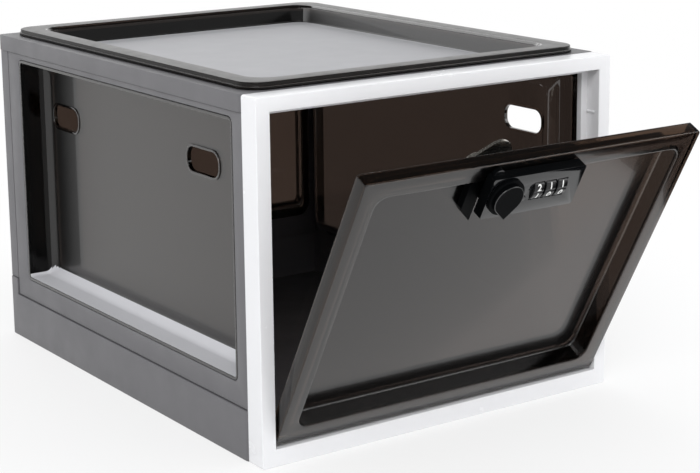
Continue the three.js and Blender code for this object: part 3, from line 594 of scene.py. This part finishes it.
# Screws, dial axle and detent spring: nickel-plated steel. The screws are driven from behind the door, and
# the turned axle and the pressed leaf spring lie between housing and cover.
for name in ("lock_screw_1", "lock_screw_2", "pull_screw"):
    dress_node(name, nickel_steel, 0.2)
dress_node("dial_axle", nickel_steel, 0.15)
dress_node("detent_spring", nickel_steel, 0.08)

# Number dials: three wheels of black acetal with ten lands each, their figures printed in white. A notch
# between two lands faces the front, so that each window of the lock shows two figures.

# White pad-printing ink: a thin even coat, slightly dull.
white_ink = moulded_plastic("white pad-printing ink", 0xf6f6f4, 0xeaeae8, (0.4, 0.5), 0.5, 0.005, 1.5, 0.3)
# Polished acetal: a deep black with a soft bright line along each land.
dial_black = moulded_plastic("polished black dial acetal", 0x111214, 0x0b0c0e, (0.12, 0.2), 1.0, 0.008, 1.48,
                             0.3)
inked = 1
dial_radius, dial_half, axle_bore, land_count = 9.0, 3.35, 1.5, 10


def wheel_surface():
    """A wheel about X with a round at each rim, closed by flat sides down to the axle's bore. Its radius is
    R minus a notch between lands: with s from 0 at a land's middle to 1 between two lands, the notch is
    depth ((s - 0.72) / 0.28) ^ 1.2, and it fades out down the wheel's sides."""
    depth, land_share, slope_share, curl = 0.4, 0.72, 0.28, 1.2
    rim_round, fade_foot, fade_height = 0.5, 7.4, 1.6
    angle = np.linspace(0, 2 * math.pi, 120, endpoint=False)
    share = np.abs((angle / (2 * math.pi) * land_count) % 1 - 0.5) * 2
    notch = depth * np.clip((share - land_share) / slope_share, 0, 1) ** curl
    profile = softened([[-dial_half, axle_bore], [-dial_half, dial_radius], [dial_half, dial_radius],
                        [dial_half, axle_bore]], [0, rim_round, rim_round, 0])
    across, height = profile[:, :1], profile[:, 1:]
    radius = height - notch * np.clip((height - fade_foot) / fade_height, 0, 1)
    wheel = np.stack([np.broadcast_to(across, radius.shape), radius * np.sin(angle), radius * np.cos(angle)],
                     axis=-1)
    return skin(wheel, True)


def printed_figure(figure):
    """A figure of the built-in font, 3.9 mm high, bent round the wheel: its height becomes the angle
    height / R. Its ink reaches from 0.05 mm inside the wheel to 0.03 mm proud of it."""
    sunk, ink = 0.05, 0.08
    letter = bpy.data.curves.new("figure", "FONT")
    letter.body = str(figure)
    letter.size = 5.4
    letter.offset = 0.1
    letter.align_x, letter.align_y = "CENTER", "CENTER"
    holder = bpy.data.objects.new("figure", letter)
    bpy.context.scene.collection.objects.link(holder)
    graph = bpy.context.evaluated_depsgraph_get()
    sheet = bmesh.new()
    made = bpy.data.meshes.new_from_object(holder.evaluated_get(graph))
    sheet.from_mesh(made)
    bpy.data.objects.remove(holder)
    bpy.data.curves.remove(letter)
    bpy.data.meshes.remove(made)
    bmesh.ops.remove_doubles(sheet, verts=sheet.verts, dist=0.001)
    # Cuts 0.4 mm apart let the flat figure bend
    for level in np.linspace(-2, 2, 11):
        parts = [*sheet.verts, *sheet.edges, *sheet.faces]
        bmesh.ops.bisect_plane(sheet, geom=parts, plane_co=(0, level, 0), plane_no=(0, 1, 0))
    grown = bmesh.ops.extrude_face_region(sheet, geom=sheet.faces[:])
    for corner in grown["geom"]:
        if isinstance(corner, bmesh.types.BMVert):
            corner.co.z = 1
    sheet.verts.index_update()
    points = np.array([vertex.co for vertex in sheet.verts])
    faces = [[vertex.index for vertex in face.verts] for face in sheet.faces]
    sheet.free()
    triangles = np.array([[face[0], face[i], face[i + 1]]
                          for face in faces for i in range(1, len(face) - 1)])
    radius = dial_radius - sunk + ink * points[:, 2]
    bend = points[:, 1] / dial_radius
    return np.stack([points[:, 0], radius * np.sin(bend), radius * np.cos(bend)], axis=-1), triangles


land = 360 / land_count
figures = [printed_figure(figure) for figure in range(land_count)]
# Each wheel's middle across the door, and the figure that its window shows above
for number, (x, upper) in enumerate(((112.0, 2), (120.1, 1), (128.2, 1)), 1):
    shells = [wheel_surface()]
    for figure, (points, faces) in enumerate(figures):
        angle = math.radians(land / 2 + land * (figure - upper))
        up = points[:, 1] * math.cos(angle) + points[:, 2] * math.sin(angle)
        out = points[:, 2] * math.cos(angle) - points[:, 1] * math.sin(angle)
        shells.append((np.stack([points[:, 0], up, out], axis=-1), faces, inked))

    def on_dial(points, x=x):
        """Wheel coordinates moved to the dial's place in the lock, then onto the door."""
        return on_door(points + np.array([x, dial_up, dial_out]))

    wheel = make_piece(f"number_dial_{number}", shells, on_dial, [dial_black, white_ink])
    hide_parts(f"dial_{number}")
    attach(wheel, ("dial_left", "dial_middle", "dial_right")[number - 1])

# Reset button: a small moulded plunger of the polished black ABS in a bore beside the knob. It is pushed
# in to set a new number.
dress_node("reset_button", polished_black, 0.3)

# Turn knob: one moulding of the textured black ABS, a disc under a drop-shaped pointer, pressed onto the
# spindle. Fingers have polished the round along the pointer's edge, which shows a thin bright line.
knob_turn = math.radians(5)
spindle_bore, disc_radius, disc_foot, disc_top = 2.9, 11.2, 6.8, 8.8
turn = np.linspace(0, 2 * math.pi, 96, endpoint=False)
profile = softened([[spindle_bore, disc_foot], [disc_radius, disc_foot], [disc_radius, disc_top],
                    [spindle_bore, disc_top]], [0, 0.4, 0.5, 0])
disc = np.stack([profile[:, :1] * np.cos(turn), profile[:, :1] * np.sin(turn),
                 np.broadcast_to(profile[:, 1:], (len(profile), len(turn)))], axis=-1)
shells = [skin(disc, True)]
head, tip, apart = 9.2, 1.2, 11.8


def drop_ring(grow, height):
    """Ring round a head circle and a tip circle whose middle is the distance apart below it, both grown.
    The arcs end where their common tangents touch, at the angle acos((head - tip) / apart) from below."""
    wrap = math.acos((head - tip) / apart)
    arcs = []
    for radius, below, angle in ((head, 0, np.linspace(wrap, 2 * math.pi - wrap, 56)),
                                 (tip, apart, np.linspace(-wrap, wrap, 16))):
        x, y = (radius + grow) * np.sin(angle), -below - (radius + grow) * np.cos(angle)
        arcs.append(np.column_stack([x, y, np.full(len(angle), height)]))
    return np.concatenate(arcs)


pointer_foot, pointer_top, face_inset = 8.4, 11, 1
profile = softened([[-face_inset, pointer_foot], [0, pointer_foot], [0, pointer_top],
                    [-face_inset, pointer_top]], [0, 0.1, 0.45, 0])
drop = np.stack([drop_ring(grow, height) for grow, height in profile])
points, faces = skin(drop)
# The bands of the profile from the start to the end of the upper edge's round
round_start, round_end = 6, 10
band = bands(drop)
unpolished, rubbed_bright = range(2)
finish = np.where((band >= round_start) & (band < round_end), rubbed_bright, unpolished)
shells += [(points, faces, finish), flat(drop[0]), flat(drop[-1])]


def on_knob(points):
    """Knob coordinates turned by its rest angle, moved to its axis and onto the door."""
    x = points[:, 0] * math.cos(knob_turn) - points[:, 1] * math.sin(knob_turn)
    y = points[:, 0] * math.sin(knob_turn) + points[:, 1] * math.cos(knob_turn)
    return on_door(np.stack([x + knob_x, y + knob_y, points[:, 2]], axis=-1))


knob = make_piece("black_turn_knob", shells, on_knob, [textured_black, polished_black])
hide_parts("turn_knob")
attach(knob, "knob")

# Spindle, latch cam and nut: the steel set that the knob turns behind the door. The cam is pressed from
# 1.6 mm sheet, and its arm catches behind the frame's top rail when it points up.
for name in ("spindle", "latch_cam", "cam_nut"):
    dress_node(name, nickel_steel, 0.25)

# The studio, which is no part of the object: a plain floor painted nearly white that keeps the box's
# shadow, a dark card, a white surround, and three soft lamps.
scene = bpy.context.scene
scene.view_settings.view_transform = "Standard"


def lay_down(name, corners, material):
    """A flat sheet with four corners, in metres."""
    mesh = bpy.data.meshes.new(name)
    mesh.from_pydata(corners, [], [(0, 1, 2, 3)])
    mesh.materials.append(material)
    sheet = bpy.data.objects.new(name, mesh)
    scene.collection.objects.link(sheet)
    return sheet


# Studio paint: a matt near-white that burns out to white from about 0.6 m away, and keeps the shadow near.
sweep, tree, place = start_finish("pale studio floor")
paint = add_node(tree, "ShaderNodeTexNoise", {"Scale": noise_scale(250), "Detail": 3.0}, {"Vector": place})
tone = add_node(tree, "ShaderNodeMix", {"data_type": "RGBA", 6: linear(0xf5f5f5), 7: linear(0xfafafa)},
                {0: paint.outputs["Fac"]})
board = add_node(tree, "ShaderNodeBsdfDiffuse", None, {"Color": tone.outputs[2]})
glow = add_node(tree, "ShaderNodeEmission", {"Color": (1, 1, 1, 1), "Strength": 1.0})
rays = add_node(tree, "ShaderNodeLightPath")
seen = add_node(tree, "ShaderNodeMath", {"operation": "MAXIMUM"},
                {0: rays.outputs["Is Camera Ray"], 1: rays.outputs["Is Glossy Ray"]})
seen = add_node(tree, "ShaderNodeMath", {"operation": "MAXIMUM"},
                {0: seen.outputs[0], 1: rays.outputs["Is Transmission Ray"]})
away = add_node(tree, "ShaderNodeVectorMath", {"operation": "LENGTH"}, {0: place})
burnt = add_node(tree, "ShaderNodeMapRange",
                 {"From Min": 0.25, "From Max": 0.6, "To Min": 0.68, "To Max": 1.0,
                  "interpolation_type": "SMOOTHSTEP"}, {"Value": away.outputs["Value"]})
share = add_node(tree, "ShaderNodeMath", {"operation": "MULTIPLY"},
                 {0: seen.outputs[0], 1: burnt.outputs[0]})
mixed = add_node(tree, "ShaderNodeMixShader", None,
                 {0: share.outputs[0], 1: board.outputs[0], 2: glow.outputs[0]})
add_node(tree, "ShaderNodeOutputMaterial", None, {"Surface": mixed.outputs[0]})
reach = 12.0
floor = lay_down("studio_floor", [(-reach, -reach, 0), (reach, -reach, 0), (reach, reach, 0),
                                  (-reach, reach, 0)], sweep)

# A dark card lies on the floor to the right of the door. Only gloss sees it: it ends the white that the
# door mirrors, so that the door's far upper corner shows its own brown.
felt, tree, place = start_finish("dark studio card")
nap = add_node(tree, "ShaderNodeTexNoise", {"Scale": noise_scale(2.5)}, {"Vector": place})
tone = add_node(tree, "ShaderNodeMix", {"data_type": "RGBA", 6: linear(0x0c0c0c), 7: linear(0x141414)},
                {0: nap.outputs["Fac"]})
cloth = add_node(tree, "ShaderNodeBsdfDiffuse", None, {"Color": tone.outputs[2]})
add_node(tree, "ShaderNodeOutputMaterial", None, {"Surface": cloth.outputs[0]})
card_height = 0.0005
card = lay_down("studio_card", [(0.146, -0.360, card_height), (0.45, -0.63, card_height),
                                (0.645, -0.411, card_height), (0.341, -0.141, card_height)], felt)
for ray in ("camera", "diffuse", "transmission", "volume_scatter", "shadow"):
    setattr(card, f"visible_{ray}", False)

# The surround lights the box evenly and shows white to the camera. What gloss mirrors of it is white at
# eye level and falls off to a dim ceiling overhead.
surround = bpy.data.worlds.new("white surround")
scene.world = surround
surround.use_nodes = True
tree = surround.node_tree
tree.nodes.clear()
rays = add_node(tree, "ShaderNodeLightPath")
look = add_node(tree, "ShaderNodeTexCoord").outputs["Generated"]
height = add_node(tree, "ShaderNodeSeparateXYZ", None, {0: look}).outputs["Z"]
ceiling = add_node(tree, "ShaderNodeMapRange", {"From Min": 0.35, "From Max": 0.7, "To Min": 1.0,
                                                "To Max": 0.06, "interpolation_type": "SMOOTHSTEP"},
                   {"Value": height})
seen = add_node(tree, "ShaderNodeMath", {"operation": "MAXIMUM"},
                {0: rays.outputs["Is Camera Ray"], 1: rays.outputs["Is Transmission Ray"]})
around = add_node(tree, "ShaderNodeBackground", {"Color": (0.98, 0.99, 1.0, 1.0), "Strength": 0.8})
mirror = add_node(tree, "ShaderNodeBackground", {"Color": (1, 1, 1, 1)}, {"Strength": ceiling.outputs[0]})
white = add_node(tree, "ShaderNodeBackground", {"Color": (1, 1, 1, 1), "Strength": 1.0})
lit = add_node(tree, "ShaderNodeMixShader", None,
               {0: rays.outputs["Is Glossy Ray"], 1: around.outputs[0], 2: mirror.outputs[0]})
shown = add_node(tree, "ShaderNodeMixShader", None,
                 {0: seen.outputs[0], 1: lit.outputs[0], 2: white.outputs[0]})
add_node(tree, "ShaderNodeOutputWorld", None, {"Surface": shown.outputs[0]})

# Three disc lamps aimed at the middle of the box: a key from the left, a weaker fill from the right, and
# one behind that lifts the rear edges. Places and sizes are in metres, and power is in watts.
box_middle = Vector((0, 0, 0.1))
for name, place, size, power in (("key lamp", (-1.3, -1.5, 1.6), 1.2, 18.0),
                                 ("fill lamp", (1.6, -1.2, 1.1), 1.4, 10.0),
                                 ("back lamp", (0.3, 1.5, 1.5), 1.2, 6.0)):
    lamp = bpy.data.lights.new(name, "AREA")
    lamp.shape = "DISK"
    lamp.size = size
    lamp.energy = power
    holder = bpy.data.objects.new(name, lamp)
    holder.location = place
    aim = box_middle - Vector(place)
    holder.rotation_euler = aim.to_track_quat("-Z", "Y").to_euler()
    scene.collection.objects.link(holder)

# The camera stands where the photograph was taken from: 34.84 degrees to the left of the front, 11.85
# degrees above it and rolled by 0.61 degrees. Its focal length, the picture's width and middle row and
# the row that it aims at are in pixels.
picture_width, middle_row, aim_row, focal, film = 700, 236.5, 166, 1812, 36
lens = bpy.data.cameras.new("photograph")
lens.sensor_width = film
lens.lens = focal / picture_width * film
lens.shift_y = -(middle_row - aim_row) / picture_width
lens.clip_start, lens.clip_end = 0.05, 50
camera = bpy.data.objects.new("photograph", lens)
camera.location = (-0.6155, -0.9503, 0.3634)
aside, raised, roll = math.radians(-34.84), math.radians(90 - 11.85), math.radians(-0.61)
turned = Matrix.Rotation(aside, 3, "Z") @ Matrix.Rotation(raised, 3, "X") @ Matrix.Rotation(roll, 3, "Z")
camera.rotation_euler = turned.to_euler()
scene.collection.objects.link(camera)
scene.camera = camera
